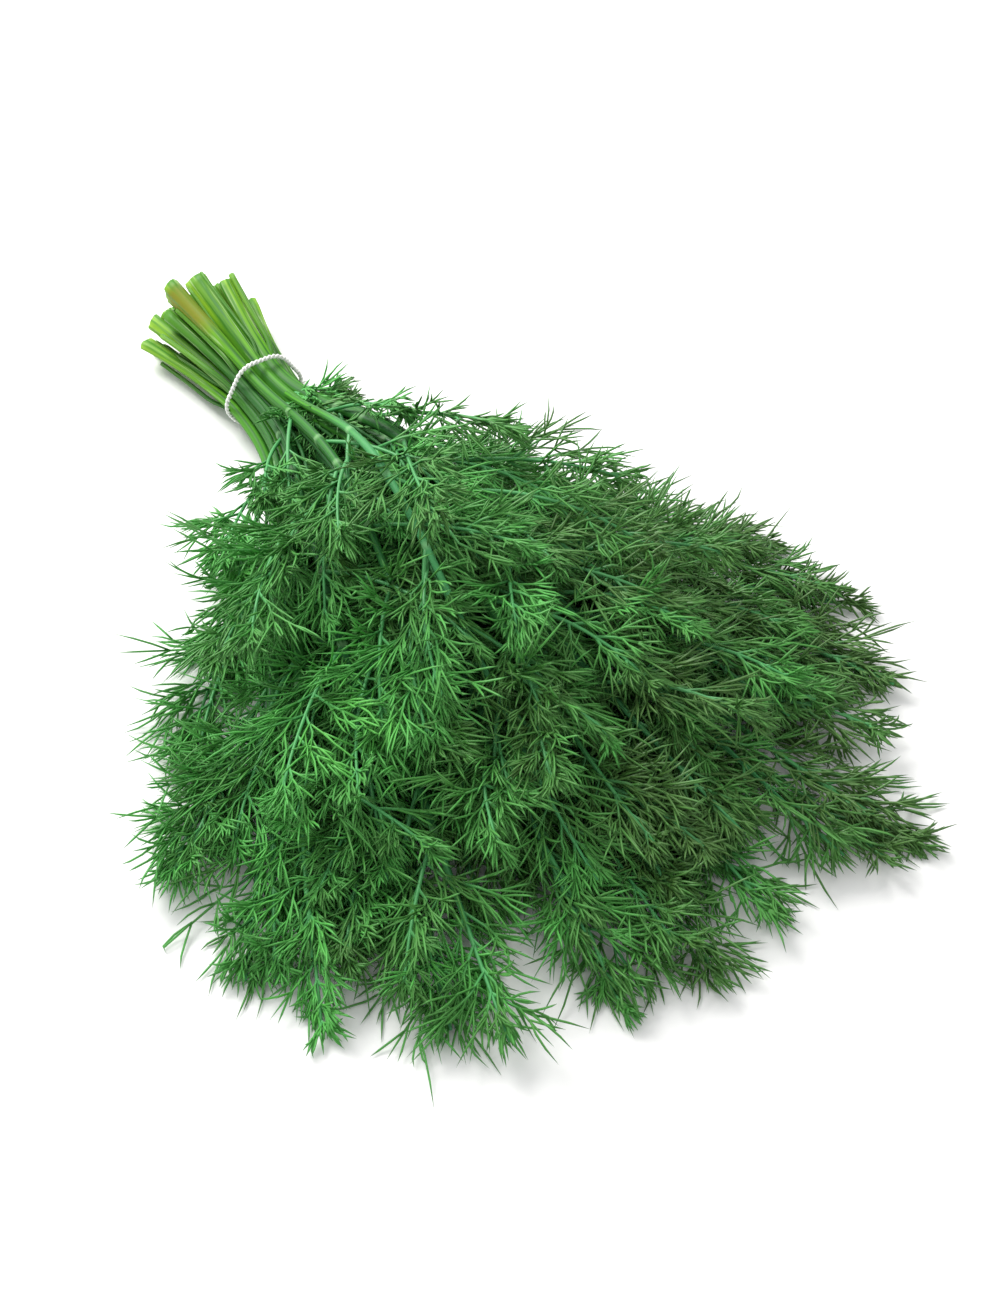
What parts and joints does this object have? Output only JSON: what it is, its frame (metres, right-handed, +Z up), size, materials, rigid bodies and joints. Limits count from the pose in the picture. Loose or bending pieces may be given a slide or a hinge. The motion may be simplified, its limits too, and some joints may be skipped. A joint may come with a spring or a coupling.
{
  "type": "dill bunch",
  "caption": "Tied bunch of fresh dill lying on a surface: straight cut stems gathered by a white string, fanning out into feathery, thread-like leaves.",
  "frame": {"origin": "on the surface that the bunch lies on, straight below the string, in the middle of the string's flat underside", "axes": "+X along the cut stems from their cut ends to the leaf tips, +Z up, +Y to the side of the string's knot"},
  "size_m": [0.3426, 0.2487, 0.0716],
  "materials": {
    "dill_green": "living plant: pale yellow-green and slightly glossy at the cut stems, deep green and matt in the leaves",
    "tie_string": "smooth white cotton string"
  },
  "bodies": {
    "root": {"leafy_stem_01": "dill_green", "leafy_stem_02": "dill_green", "leafy_stem_03": "dill_green", "leafy_stem_04": "dill_green", "leafy_stem_05": "dill_green", "leafy_stem_06": "dill_green", "leafy_stem_07": "dill_green", "leafy_stem_08": "dill_green", "leafy_stem_09": "dill_green", "leafy_stem_10": "dill_green", "leafy_stem_11": "dill_green", "leafy_stem_12": "dill_green", "leafy_stem_13": "dill_green", "leafy_stem_14": "dill_green", "leafy_stem_15": "dill_green", "leafy_stem_16": "dill_green", "leafy_stem_17": "dill_green", "leafy_stem_18": "dill_green", "leafy_stem_19": "dill_green", "leafy_stem_20": "dill_green", "leafy_stem_21": "dill_green", "leafy_stem_22": "dill_green", "leafy_stem_23": "dill_green", "tie": "tie_string"}
  },
  "joints": []
}
